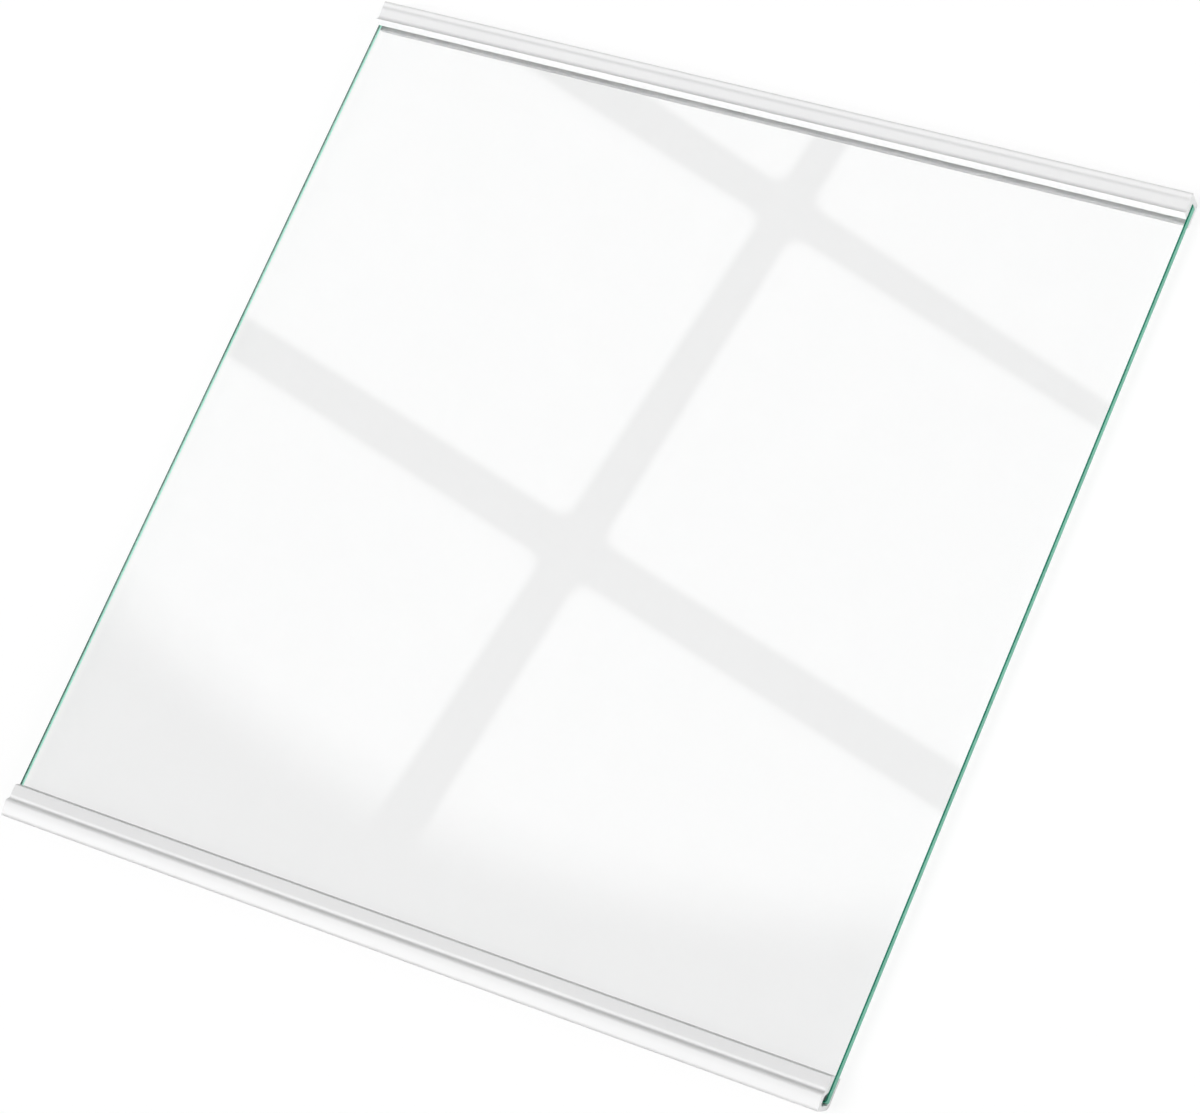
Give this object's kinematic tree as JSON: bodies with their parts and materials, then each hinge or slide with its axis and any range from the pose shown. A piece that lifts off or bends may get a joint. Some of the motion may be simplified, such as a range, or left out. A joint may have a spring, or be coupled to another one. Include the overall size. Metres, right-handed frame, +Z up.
{
  "type": "refrigerator glass shelf",
  "caption": "Flat clear glass shelf for a refrigerator, with white extruded plastic trims gripping its front and rear edges and bare polished sides.",
  "frame": {"origin": "middle of the shelf's width and depth, on the surface that the undersides of the trims stand on", "axes": "+X along the trims, to the right seen from the front; +Y from the front trim to the rear trim; +Z up, out of the top face of the glass"},
  "size_m": [0.401, 0.413, 0.0117],
  "materials": {
    "clear_glass": "clear tempered float glass with seamed and polished green edges",
    "white_plastic": "white extruded plastic with a soft gloss"
  },
  "bodies": {
    "root": {"glass_pane": "clear_glass", "front_trim": "white_plastic", "rear_trim": "white_plastic"}
  },
  "joints": []
}
